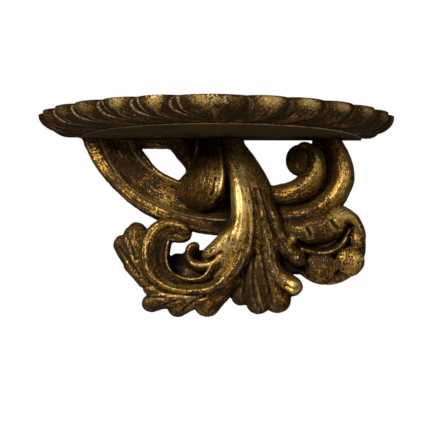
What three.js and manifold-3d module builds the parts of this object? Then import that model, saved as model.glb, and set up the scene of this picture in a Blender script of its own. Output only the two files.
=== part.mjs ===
// Carved and gilded wooden wall bracket: a half-oval shelf with a gadrooned edge, on a pierced support of
// scrolls and leaves carved from one block.
// Millimetres, +Z up, front towards -Y. The wall is the plane y = 0, X = 0 is the shelf's centre line and
// Z = 0 is half way up the shelf's thickness, so the origin lies on the shelf's back face.
import * as THREE from 'three';
import { mergeVertices } from 'three/addons/utils/BufferGeometryUtils.js';
import Module from 'manifold-3d';

// Shelf: the oval's half width and depth, the board's thickness, and the smaller oval of its underside.
const SHELF_HALF_WIDTH = 178.5;
const SHELF_DEPTH = 160;
const SHELF_THICKNESS = 21;
const FOOT_HALF_WIDTH = 140;
const FOOT_DEPTH = 116;
const FOOT_SHIFT = 5;

// Gadroons, in degrees from the front: the centre lobe's middle and half angle, the pitch of the others and
// the sideways sweep of each hollow down the edge. Then the hollow's depth, the power by which it fades
// towards the underside, and the steps in a lobe and down the edge.
const CENTRE_LOBE_MIDDLE = 1.4;
const CENTRE_LOBE_HALF_ANGLE = 10.3;
const LOBE_PITCH = 12.8;
const LOBE_SWEEP = 5;
const LOBE_HOLLOW = 3.6;
const LOBE_FADE = 0.5;
const LOBE_STEPS = 6;
const EDGE_STEPS = 7;

// Support: clearance under the shelf, spacing of the sections along a stroke, how far a stroke is carried
// past the wall plane before it is cut flat there, and the size of the block that cuts it.
const JOINT_GAP = 0.3;
const SECTION_SPACING = 10;
const WALL_OVERRUN = 4;
const CUT_BLOCK = 600;

// Rounded ends: places of their sections in end radii from the tip, and the share of depth kept at the tip.
const END_STEPS = [0.08, 0.35, 0.7];
const END_DEPTH = 0.6;

// Part of a stroke's length over which its first section turns into its second one.
const CHANGE_START = 0.4;
const CHANGE_END = 0.58;

// Height of a section across its width, as pairs of [place from the left edge +1 to the right edge -1,
// share of the depth from back to front].
const ROUND_SIDE = 0.32;
const ROUND_POINTS = 7;
const SECTIONS = {
  round: roundSection(ROUND_SIDE, ROUND_POINTS),
  flat: [[1, 0.8], [0.88, 1], [-0.88, 1], [-1, 0.8]],
  cove: [[1, 0.7], [0.9, 0.92], [0.74, 0.8], [0.4, 0.62], [0, 0.6], [-0.36, 0.78], [-0.44, 1], [-0.9, 0.98],
    [-1, 0.75]],
  dome: [[1, 0.5], [0.84, 0.9], [0.5, 1], [0.1, 0.96], [-0.55, 0.74], [-1, 0.42]],
  slope: [[1, 0.36], [0.8, 0.62], [0.1, 0.85], [-0.7, 0.985], [-1, 1]],
  blade: [[1, 0.5], [0.75, 0.88], [0, 1], [-0.75, 0.88], [-1, 0.5]],
  stalk: [[1, 0.8], [0.85, 0.91], [0.1, 0.99], [-0.5, 0.97], [-0.85, 0.8], [-1, 0.5]],
  trough: [[1, 0.7], [0.8, 0.88], [0.4, 0.925], [-0.05, 0.78], [-0.45, 0.68], [-0.88, 0.95], [-1, 0.8]],
};

// Strokes of the carving. Each follows a smooth line through stations [x, z, half width], seen from the
// front, with the front's distance from the wall spread evenly along it, the back's distance, and rounded
// ends.
const STROKES = [
  // Moulded C-scroll at the left, with the rail, ground, lobe and fold that fill its eye.
  {
    section: 'cove',
    front: [18, 22, 29, 31, 28, 24],
    line: [[-114, 8, 24], [-106, -15, 24], [-92, -36, 23.5], [-68, -61, 22], [-40, -75, 22],
      [-7, -84, 21.5], [25, -87, 20], [53, -86, 13]],
  },
  { section: 'flat', front: [13, 16], line: [[-98, -5, 13], [-60, -4, 15.5], [-18, -5, 16]] },
  { section: 'flat', front: [12, 14, 16], line: [[-30, 8, 10], [-25, -20, 9], [-19, -46, 9]] },
  {
    section: 'round',
    front: [16, 22, 18],
    line: [[-54, 8, 10], [-41, -9, 11], [-29, -25, 10], [-19, -43, 6.5]],
  },
  {
    section: 'round',
    front: [22, 30, 22],
    roundEnd: true,
    line: [[-19, 2, 3.2], [-18, -22, 3.6], [-22, -38, 3]],
  },
  // Swelling boss beside the stalk, and the ground between the two.
  {
    section: 'dome',
    front: [17, 26, 38, 45, 44, 34],
    roundEnd: true,
    line: [[-6, 8, 10], [-6, -16, 11.5], [-7, -36, 15.5], [-10, -50, 19.5], [-14, -65, 25], [-16, -84, 19]],
  },
  { section: 'flat', front: [12, 14, 14], back: 2, line: [[10, 2, 12], [12, -40, 12], [18, -90, 14]] },
  // Main stalk, which falls from the shelf, then turns left and rolls up into the big C-shaped leaf.
  {
    section: 'stalk',
    sectionEnd: 'trough',
    front: [20, 42, 58, 60, 58, 54, 49, 45, 46, 50],
    back: 8,
    roundEnd: true,
    line: [[8, 10, 11], [10, -15, 10.8], [14.5, -32, 11], [20.5, -50, 11.5], [24.5, -65, 12.2],
      [26.7, -82, 13.2], [27, -100, 14.5], [22, -121, 17], [11, -142, 14], [-2, -155, 9.8],
      [-16, -158.8, 8.2], [-33, -157.5, 9], [-49, -149.5, 11.8], [-57.5, -136, 14], [-58, -121, 14.5],
      [-53.5, -109, 13.4], [-45, -103, 11.5], [-35, -104.5, 10.6], [-23, -108, 8.5]],
  },
  // Hollow inside the leaf, and the hooked curl over it: its rim and the tongue that fills it.
  {
    section: 'flat',
    front: [24, 20],
    back: 8,
    roundEnd: true,
    line: [[16, -138, 16], [-6, -138, 16], [-24, -138, 16], [-36, -134, 12.5], [-42, -127, 8]],
  },
  {
    section: 'round',
    front: [44, 50, 52, 50, 48, 45],
    back: 8,
    roundEnd: true,
    line: [[24, -114, 5], [15, -127, 5.5], [4, -134.5, 5.5], [-6, -138, 5.2], [-15, -138, 5],
      [-21.5, -134, 4.8], [-24, -127, 4.8], [-21.5, -119.5, 4.4], [-14.5, -117.8, 3.6]],
  },
  {
    section: 'round',
    front: [56, 56, 53, 50],
    back: 8,
    roundEnd: true,
    line: [[28, -92, 12], [20, -107, 12], [10, -118.5, 11.5], [0, -125.5, 10], [-11, -129, 7.5]],
  },
  // Sloping right half of the leaf, and the finger that curls away from it.
  {
    section: 'slope',
    front: [20, 34, 49, 52, 50, 46],
    back: 2,
    roundEnd: true,
    line: [[21, 10, 6], [23, -16, 6.5], [32, -33, 8.5], [41, -54, 11.5], [47, -76, 14.5], [51, -97, 17],
      [54, -116, 17], [56, -132, 14]],
  },
  {
    section: 'round',
    front: [36, 43, 44, 47],
    back: 6,
    roundEnd: true,
    line: [[44, -50, 4], [53, -74, 6.5], [59, -92, 8], [65, -108, 8.5], [73, -121, 8.5], [83, -130, 7.5],
      [90, -134, 6.5]],
  },
  // Double volute at the right: a plain ground, the outer band and the inner band that ends in the eye.
  {
    section: 'flat',
    front: [16, 20],
    line: [[109, 5, 14], [112, -41, 14], [104, -61, 15], [83, -76, 13], [47, -81, 14]],
  },
  {
    section: 'round',
    front: [26, 31, 34, 32, 28],
    line: [[43, -91, 11], [75, -89, 11], [100, -83, 11.5], [117, -70, 11.5], [126.5, -53, 11],
      [126.5, -38, 10.5], [121, -22, 9], [110, -2, 8]],
  },
  {
    section: 'round',
    front: [28, 31, 37, 38, 36, 33],
    roundEnd: true,
    line: [[35, -68, 11], [57, -68.5, 11], [76, -65.5, 12], [91, -57, 12.5], [99, -46, 11], [100, -36, 10],
      [97, -26.5, 9], [90, -20, 6], [82, -20, 4]],
  },
  // Shell pod at the lower right: the ground behind it, the broad upper roll, the ridge under it and its brow.
  { section: 'flat', front: [17, 20], line: [[54, -118, 16], [72, -126, 17], [92, -125, 20]] },
  {
    section: 'round',
    front: [30, 36, 39, 38, 30],
    roundEnd: true,
    line: [[43, -100, 13], [65, -103, 14], [85, -104, 15], [102, -101.5, 16.5], [117, -95, 15.5],
      [127, -87.5, 12.5], [135, -82, 9.5]],
  },
  {
    section: 'round',
    front: [28, 33, 34, 32, 28],
    roundStart: true,
    roundEnd: true,
    line: [[74, -114, 3.5], [88, -121.5, 4.2], [105, -125, 4.2], [119, -121.5, 4.2], [128.5, -112, 3.6],
      [134, -99, 3]],
  },
  {
    section: 'round',
    front: [33, 32, 29, 27],
    roundEnd: true,
    line: [[120, -84, 9], [134, -90, 8], [142.5, -102, 6.2], [145, -116, 4]],
  },
  // Blades that the leaf fingers stand on: the fan below, the left lobes and the lower lobes.
  {
    section: 'blade',
    front: [32, 44, 45, 40],
    back: 9,
    roundEnd: true,
    line: [[42, -92, 12], [45, -122, 18], [46, -148, 24], [47, -177, 26]],
  },
  {
    section: 'blade',
    front: [36, 39, 36],
    back: 8,
    roundEnd: true,
    line: [[-56, -160, 6], [-67, -149, 9], [-74, -134, 11.5], [-78, -116, 12], [-79, -98, 10]],
  },
  {
    section: 'blade',
    front: [44, 44, 40],
    back: 10,
    roundEnd: true,
    line: [[22, -148, 10], [2, -163, 12], [-22, -169.5, 10.5], [-44, -170.5, 9.5], [-66, -170, 9]],
  },
];

// Leaf fingers: root and tip as [x, z, half width, front], the bow of the line between them to its left, and
// the back's distance from the wall. Then the number of stations along each.
const FINGERS = [
  { root: [34, -105, 8, 40], tip: [24, -176, 10, 38], bow: 4, back: 9 },
  { root: [40, -105, 9, 40], tip: [43.5, -184, 12.5, 40], bow: 2, back: 9 },
  { root: [46, -105, 9, 38], tip: [69, -181.5, 13, 41], bow: -5, back: 9 },
  { root: [50, -92, 7, 38], tip: [86, -162, 9.5, 52], bow: -15, back: 9 },
  { root: [-70, -128, 8, 37], tip: [-77.5, -95.5, 10, 36], bow: 1, back: 8 },
  { root: [-76, -144, 8, 37], tip: [-94.5, -109, 9.5, 35], bow: 0, back: 8 },
  { root: [-66, -156, 7, 38], tip: [-87, -130, 9.5, 35], bow: -1, back: 8 },
  { root: [-25, -162, 5, 42], tip: [-69, -161, 5.5, 40], bow: -1, back: 10 },
  { root: [-12, -165, 8, 41], tip: [-69, -178, 8.5, 39], bow: -3, back: 10 },
  { root: [4, -163, 9, 41], tip: [-43, -183.5, 10.8, 39], bow: -3, back: 10 },
  { root: [24, -146, 12, 44], tip: [-13, -185.5, 12.5, 41], bow: -3, back: 10 },
];
const FINGER_STATIONS = 4;

// Round bosses: centre [x, z], radii along X and Z, front distance from the wall, height of the straight side
// as a share of the depth, and the back's distance. Then the sides of each and its rings from side to crown.
const BOSSES = [
  { at: [84, -32], radii: [13.5, 14.5], front: 35, edge: 0.6, back: 0 },
  { at: [81.5, -130.5], radii: [7.5, 7.5], front: 50, edge: 0.55, back: 12 },
  { at: [111.5, -117], radii: [38, 38], front: 24, edge: 0.78, back: 0, sides: 24 },
  { at: [105, -138.5], radii: [15.5, 14.5], front: 33, edge: 0.85, back: 0 },
  { at: [133.5, -132.5], radii: [14, 13.5], front: 33, edge: 0.85, back: 0 },
  { at: [141, -111], radii: [7, 9.5], front: 31, edge: 0.8, back: 0 },
  { at: [77.5, -112], radii: [4.2, 4.8], front: 50, edge: 0.55, back: 0 },
];
const BOSS_SIDES = 12;
const BOSS_RINGS = 3;

const GILT_SHELF = { color: 0x6b4a22, roughness: 0.5, metalness: 0.6 };
const GILT_CARVING = { color: 0x8a6228, roughness: 0.42, metalness: 0.7 };

// Slack when a place is looked up between the pairs of a section.
const PLACE_SLACK = 1e-9;

const wasm = await Module();
wasm.setup();

// Half-round height curve over `points` places, standing on straight sides of the given share of the depth.
function roundSection(side, points) {
  return Array.from({ length: points }, (_, i) => {
    const angle = (Math.PI * i) / (points - 1);
    return [Math.cos(angle), side + (1 - side) * Math.sin(angle)];
  });
}

// Height of a section at one place across, read between its listed pairs.
function heightAt(section, place) {
  const next = Math.max(1, section.findIndex(([at]) => at <= place + PLACE_SLACK));
  const [from, low] = section[next - 1];
  const [to, high] = section[next];
  return THREE.MathUtils.lerp(low, high, (from - place) / (from - to));
}

// Closed solid from rings of points, each ring a loop in the same order, with a flat fan at both ends.
function solidFromRings(rings) {
  const size = rings[0].length;
  const positions = rings.flat().flatMap((point) => point.toArray());
  const index = [];
  for (let ring = 0; ring < rings.length - 1; ring += 1) {
    for (let k = 0; k < size; k += 1) {
      const a = ring * size + k;
      const b = ring * size + ((k + 1) % size);
      index.push(a, b, b + size, a, b + size, a + size);
    }
  }
  const last = (rings.length - 1) * size;
  for (let k = 1; k < size - 1; k += 1) {
    index.push(0, k + 1, k, last, last + k, last + k + 1);
  }
  const geometry = new THREE.BufferGeometry();
  geometry.setAttribute('position', new THREE.Float32BufferAttribute(positions, 3));
  geometry.setIndex(index);
  return toManifold(geometry);
}

// A closed geometry as a solid that can be joined and cut, turned outwards if it came out inside out.
function toManifold(source) {
  const geometry = source.clone();
  geometry.deleteAttribute('normal');
  geometry.deleteAttribute('uv');
  const merged = mergeVertices(geometry);
  const triVerts = new Uint32Array(merged.index.array);
  const build = () => new wasm.Manifold(new wasm.Mesh({
    numProp: 3,
    vertProperties: merged.attributes.position.array,
    triVerts,
  }));
  const solid = build();
  if (solid.volume() > 0) return solid;
  for (let i = 0; i < triVerts.length; i += 3) {
    [triVerts[i], triVerts[i + 1]] = [triVerts[i + 1], triVerts[i]];
  }
  return build();
}

// A solid as a named mesh with its own finish.
function toMesh(name, solid, finish) {
  const { vertProperties, triVerts } = solid.getMesh();
  const geometry = new THREE.BufferGeometry();
  geometry.setAttribute('position', new THREE.BufferAttribute(vertProperties, 3));
  geometry.setIndex(new THREE.BufferAttribute(triVerts, 1));
  geometry.computeVertexNormals();
  const mesh = new THREE.Mesh(geometry, new THREE.MeshStandardMaterial(finish));
  mesh.name = name;
  return mesh;
}

// Block that fills everything in front of the wall and under the given height.
function blockBelow(top) {
  const block = new THREE.BoxGeometry(CUT_BLOCK, CUT_BLOCK, CUT_BLOCK);
  block.translate(0, -CUT_BLOCK / 2, top - CUT_BLOCK / 2);
  return toManifold(block);
}

// Distances along a stroke at which its section is drawn, closer together round a rounded end.
function sectionDistances(length, startRadius, endRadius) {
  const start = startRadius ? END_STEPS.map((share) => share * startRadius) : [0];
  const end = endRadius ? END_STEPS.map((share) => length - share * endRadius).reverse() : [length];
  const from = startRadius ?? 0;
  const to = length - (endRadius ?? 0);
  const count = Math.max(1, Math.round((to - from) / SECTION_SPACING));
  const middle = Array.from({ length: count + 1 }, (_, i) => THREE.MathUtils.lerp(from, to, i / count));
  return [...start, ...middle.slice(startRadius ? 0 : 1, endRadius ? undefined : -1), ...end];
}

// Share of the full width left at a distance from a rounded end: a quarter circle.
function endShare(distance, radius) {
  if (!radius || distance >= radius) return 1;
  return Math.sqrt(1 - (1 - distance / radius) ** 2);
}

// Smooth curve through a list of points.
function smoothCurve(points) {
  return new THREE.CatmullRomCurve3(points, false, 'catmullrom');
}

// One stroke of the carving as a closed solid.
function strokeSolid({ line, front, section, sectionEnd, back = 0, roundStart = false, roundEnd = false }) {
  const path = smoothCurve(line.map(([x, z, half]) => new THREE.Vector3(x, half, z)));
  const rise = smoothCurve(front.map((depth) => new THREE.Vector3(depth, 0, 0)));
  const spine = smoothCurve(line.map(([x, z]) => new THREE.Vector3(x, 0, z)));
  const length = spine.getLength();
  const startRadius = roundStart ? line[0][2] : undefined;
  const endRadius = roundEnd ? line.at(-1)[2] : undefined;
  const rearDepth = back > 0 ? back : -WALL_OVERRUN;
  const rings = sectionDistances(length, startRadius, endRadius).map((distance) => {
    const along = distance / length;
    const t = spine.getUtoTmapping(along);
    const centre = path.getPoint(t);
    const tangent = spine.getTangent(t);
    const share = Math.min(endShare(distance, startRadius), endShare(length - distance, endRadius));
    const half = centre.y * share;
    const full = rise.getPoint(t).x;
    const crown = THREE.MathUtils.lerp(THREE.MathUtils.lerp(back, full, END_DEPTH), full, share);
    const change = sectionEnd ? THREE.MathUtils.smoothstep(along, CHANGE_START, CHANGE_END) : 0;
    const pointAt = (place, depth) => new THREE.Vector3(
      centre.x - tangent.z * half * place,
      -depth,
      centre.z + tangent.x * half * place,
    );
    const face = SECTIONS[section].map(([place, own]) => {
      const later = sectionEnd ? heightAt(SECTIONS[sectionEnd], place) : own;
      const height = THREE.MathUtils.lerp(own, later, change);
      return pointAt(place, THREE.MathUtils.lerp(back, crown, height));
    });
    return [...face, pointAt(-1, rearDepth), pointAt(1, rearDepth)];
  });
  return solidFromRings(rings);
}

// A leaf finger is a short stroke along a bowed line that swells towards its tip.
function fingerSolid({ root, tip, bow, back }) {
  const [rootX, rootZ, rootHalf, rootFront] = root;
  const [tipX, tipZ, tipHalf, tipFront] = tip;
  const length = Math.hypot(tipX - rootX, tipZ - rootZ);
  const line = Array.from({ length: FINGER_STATIONS }, (_, i) => {
    const along = i / (FINGER_STATIONS - 1);
    const aside = (4 * bow * along * (1 - along)) / length;
    return [
      THREE.MathUtils.lerp(rootX, tipX, along) - (tipZ - rootZ) * aside,
      THREE.MathUtils.lerp(rootZ, tipZ, along) + (tipX - rootX) * aside,
      THREE.MathUtils.lerp(rootHalf, tipHalf, Math.sin((along * Math.PI) / 2)),
    ];
  });
  return strokeSolid({ line, front: [rootFront, tipFront], section: 'blade', back, roundEnd: true });
}

// A boss is a low dome on straight sides, turned about its own middle and stretched to its two radii.
function bossSolid({ at: [x, z], radii: [radiusX, radiusZ], front, edge, back, sides = BOSS_SIDES }) {
  const rear = back > 0 ? back : -WALL_OVERRUN;
  const profile = [new THREE.Vector2(0, rear), new THREE.Vector2(1, rear)];
  for (let ring = 0; ring <= BOSS_RINGS; ring += 1) {
    const angle = (Math.PI / 2) * (ring / BOSS_RINGS);
    const height = THREE.MathUtils.lerp(back, front, edge + (1 - edge) * Math.sin(angle));
    profile.push(new THREE.Vector2(ring === BOSS_RINGS ? 0 : Math.cos(angle), height));
  }
  const dome = new THREE.LatheGeometry(profile, sides);
  dome.rotateX(Math.PI);
  dome.scale(radiusX, 1, radiusZ);
  dome.translate(x, 0, z);
  return toManifold(dome);
}

// Angles from the front at which the shelf's edge is drawn: the hollows between the lobes, and even steps
// across each lobe with the share of the lobe's swell there.
function lobeAngles() {
  const hollows = [];
  for (let angle = CENTRE_LOBE_HALF_ANGLE; angle < 180; angle += LOBE_PITCH) hollows.push(angle);
  const bounds = [...hollows.map((angle) => -angle).reverse(), ...hollows];
  const steps = [];
  bounds.forEach((start, lobe) => {
    const end = lobe + 1 < bounds.length ? bounds[lobe + 1] : bounds[0] + 360;
    for (let step = 0; step < LOBE_STEPS; step += 1) {
      const angle = CENTRE_LOBE_MIDDLE + THREE.MathUtils.lerp(start, end, step / LOBE_STEPS);
      steps.push({ angle, swell: Math.sin((Math.PI * step) / LOBE_STEPS) });
    }
  });
  return steps;
}

// Shelf: rings that run from the top edge round the gadroons to the flat underside, cut off at the wall.
function shelfSolid() {
  const half = SHELF_THICKNESS / 2;
  const steps = lobeAngles();
  const rings = Array.from({ length: EDGE_STEPS + 1 }, (_, ring) => {
    const turn = (Math.PI / 2) * (ring / EDGE_STEPS);
    const inward = 1 - Math.cos(turn);
    const height = half - SHELF_THICKNESS * Math.sin(turn);
    const carved = Math.cos(turn) ** LOBE_FADE;
    return steps.map(({ angle, swell }) => {
      const turned = THREE.MathUtils.degToRad(angle - LOBE_SWEEP * Math.sign(angle) * inward * carved);
      const cut = LOBE_HOLLOW * (1 - Math.sqrt(swell)) * carved;
      const across = THREE.MathUtils.lerp(SHELF_HALF_WIDTH, FOOT_HALF_WIDTH, inward) - cut;
      const deep = THREE.MathUtils.lerp(SHELF_DEPTH, FOOT_DEPTH, inward) - cut;
      const x = FOOT_SHIFT * inward + across * Math.sin(turned);
      return new THREE.Vector3(x, -deep * Math.cos(turned), height);
    });
  });
  return solidFromRings(rings).intersect(blockBelow(CUT_BLOCK / 2));
}

// Support: every stroke, finger and boss joined in one carving, flat against the wall and under the shelf.
function supportSolid() {
  const solids = [...STROKES.map(strokeSolid), ...FINGERS.map(fingerSolid), ...BOSSES.map(bossSolid)];
  const carving = solids.reduce((whole, solid) => whole.add(solid));
  return carving.intersect(blockBelow(-SHELF_THICKNESS / 2 - JOINT_GAP));
}

const bracket = new THREE.Group();
bracket.add(toMesh('shelf', shelfSolid(), GILT_SHELF));
bracket.add(toMesh('carved_support', supportSolid(), GILT_CARVING));

export default bracket;
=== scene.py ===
"""Antique giltwood wall bracket: a gadrooned half-oval shelf on a pierced support of scrolls and leaves.

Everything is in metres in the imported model's frame: +Z up, front towards -Y, wall plane y = 0. The carving's
own tables are in millimetres, as a carver's drawing would be, and are scaled once when a mesh is made.
"""
import logging
from dataclasses import dataclass
from enum import Enum

import bmesh
import bpy
import numpy as np
from mathutils import Matrix, Vector


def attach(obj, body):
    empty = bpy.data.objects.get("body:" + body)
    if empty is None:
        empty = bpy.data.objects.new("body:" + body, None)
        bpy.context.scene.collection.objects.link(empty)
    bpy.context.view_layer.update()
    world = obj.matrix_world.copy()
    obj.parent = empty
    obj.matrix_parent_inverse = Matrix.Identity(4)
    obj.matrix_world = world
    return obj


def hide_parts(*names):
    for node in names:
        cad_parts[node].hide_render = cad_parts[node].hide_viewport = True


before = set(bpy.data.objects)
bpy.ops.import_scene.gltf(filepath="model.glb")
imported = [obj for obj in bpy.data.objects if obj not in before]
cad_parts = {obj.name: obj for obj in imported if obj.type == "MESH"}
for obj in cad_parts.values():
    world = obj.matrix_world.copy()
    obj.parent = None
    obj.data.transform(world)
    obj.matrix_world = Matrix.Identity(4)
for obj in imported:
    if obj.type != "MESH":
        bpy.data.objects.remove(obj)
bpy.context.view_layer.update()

Array = np.ndarray
Links = tuple[Array, Array, Array]
Triple = tuple[float, float, float]
Socket = bpy.types.NodeSocket
Value = Socket | float | Triple
Inputs = dict[str | int, Value]
MM = 0.001
log = logging.getLogger("bracket")

# A round section's straight side as a share of its depth, and the power that makes it full.
ROUND_SIDE = 0.3
ROUND_FULLNESS = 2.5

# How far either side of a place a section is averaged, and from how many readings.
TURN_REACH = 0.05
TURN_READINGS = 7


class Section(Enum):
    """Shape of a stroke's face, as (place from its left edge +1 to its right edge -1, share of the depth)."""

    ROUND = ()
    FLAT = ((1, 0.8), (0.93, 0.97), (0.85, 1), (-0.85, 1), (-0.93, 0.97), (-1, 0.8))
    COVE = ((1, 0.66), (0.97, 0.84), (0.9, 0.93), (0.84, 0.9), (0.74, 0.8), (0.55, 0.68), (0.3, 0.61),
            (0.05, 0.6), (-0.2, 0.66), (-0.36, 0.77), (-0.42, 0.86), (-0.445, 0.97), (-0.5, 1), (-0.7, 1),
            (-0.9, 0.97), (-0.97, 0.9), (-1, 0.74))
    SLOPE = ((1, 0.36), (0.94, 0.5), (0.8, 0.62), (0.5, 0.74), (0.1, 0.85), (-0.3, 0.93), (-0.7, 0.985),
             (-1, 1))
    BLADE = ((1, 0.5), (0.92, 0.72), (0.75, 0.88), (0.4, 0.97), (0, 1), (-0.4, 0.97), (-0.75, 0.88),
             (-0.92, 0.72), (-1, 0.5))
    DOME = ((1, 0.5), (0.94, 0.74), (0.84, 0.9), (0.66, 0.99), (0.45, 1), (0.15, 0.97), (-0.2, 0.88),
            (-0.55, 0.74), (-0.85, 0.58), (-1, 0.42))
    STALK = ((1, 0.8), (0.95, 0.87), (0.88, 0.91), (0.78, 0.92), (0.6, 0.93), (0.3, 0.97), (0, 0.995),
             (-0.3, 1), (-0.55, 0.97), (-0.75, 0.89), (-0.9, 0.75), (-1, 0.5))
    TROUGH = ((1, 0.7), (0.93, 0.8), (0.8, 0.88), (0.6, 0.93), (0.4, 0.925), (0.2, 0.87), (0, 0.79),
              (-0.25, 0.7), (-0.45, 0.68), (-0.65, 0.75), (-0.8, 0.86), (-0.9, 0.95), (-0.96, 0.95),
              (-1, 0.8))

    def height(self, place: Array) -> Array:
        """Reads the section: for ROUND, straight sides and on them the root of 1 less a power of the place,
        or else a line through the pairs, evened out where it turns.

        Args:
            place: places across the stroke, +1 at the left edge and -1 at the right one.

        Returns:
            The share of the stroke's depth at each place.
        """
        if self is Section.ROUND:
            dome = np.sqrt(np.clip(1 - np.abs(place) ** ROUND_FULLNESS, 0, 1))
            return ROUND_SIDE + (1 - ROUND_SIDE) * dome
        pairs = np.array(self.value, float)[::-1]
        near = np.linspace(-TURN_REACH, TURN_REACH, TURN_READINGS)[:, None]
        return np.interp(np.clip(place + near, -1, 1), pairs[:, 0], pairs[:, 1]).mean(0)


def smooth_curve(knots: Array, at: Array) -> Array:
    """Catmull-Rom curve: each span is the cubic that leaves a knot parallel to its two neighbours.

    Args:
        knots: the knots, one row each.
        at: positions counted in knots, from 0 to the last knot's number.

    Returns:
        The curve's points, one row for each position.
    """
    knots = np.asarray(knots, float)
    padded = np.vstack([2 * knots[0] - knots[1], knots, 2 * knots[-1] - knots[-2]])
    span = np.clip(np.floor(at).astype(int), 0, len(knots) - 2)
    f = (at - span)[:, None]
    a, b, c, d = padded[span], padded[span + 1], padded[span + 2], padded[span + 3]
    return 0.5 * (2 * b + (c - a) * f + (2 * a - 5 * b + 4 * c - d) * f**2 + (3 * b - a - 3 * c + d) * f**3)


def smoothstep(low: float, high: float, value: Array) -> Array:
    """Smooth rise from 0 at low to 1 at high."""
    t = np.clip((value - low) / (high - low), 0, 1)
    return t * t * (3 - 2 * t)


def quarter_round(way: Array) -> Array:
    """Share of the width left at a way of 0 to 1 radius from a rounded end: a quarter circle."""
    return np.sqrt(np.clip(1 - (1 - np.clip(way, 0, 1)) ** 2, 0, 1))


@dataclass(frozen=True)
class Surface:
    """A closed surface in millimetres: its points, faces as lists of point numbers, flow along the carving,
    and two marks for each point where it has any, how pale it is rubbed, with painted highlights, and how
    much more it is worn, with painted shade and painted highlights."""

    points: Array
    faces: list[list[int]]
    flow: Array
    marks: Array | None = None


def closed_loft(rings: Array, flow: Array) -> Surface:
    """Joins rings of points, each to the next, and closes both ends with one flat face.

    Args:
        rings: points as [ring, place round it, xyz], millimetres.
        flow: distance along, place across for each point, as [ring, place round it, 2].

    Returns:
        The closed surface.
    """
    count, size = rings.shape[:2]
    start = np.arange(count - 1)[:, None] * size
    here = start + np.arange(size)[None]
    there = start + (np.arange(size)[None] + 1) % size
    quads = np.stack([here, there, there + size, here + size], -1).reshape(-1, 4)
    caps = [list(range(size))[::-1], list(range((count - 1) * size, count * size))]
    return Surface(rings.reshape(-1, 3), quads.tolist() + caps, flow.reshape(-1, 2))


# Strokes: readings that measure a line's length, the step that finds its heading, the shares of width and
# depth that a rounded tip keeps, where a first section turns into a second, and the rings round a tip.
LENGTH_READINGS = 900
HEADING_STEP = 0.01
TIP_WIDTH = 0.03
TIP_DEPTH = 0.6
CHANGE_START = 0.4
CHANGE_END = 0.58
TIP_RINGS = 10
TIP_CLEARANCE = 1.02

# Tool marks: the millimetres over which they swell to full height, their phase's wander in radians, its
# length in millimetres and its start, and how much closer together the second marks are.
MARKS_SWELL = 25
WANDER = 0.35
WANDER_LENGTH = 23
WANDER_PHASE = 1.7
SECOND_MARKS = 1.7


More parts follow.
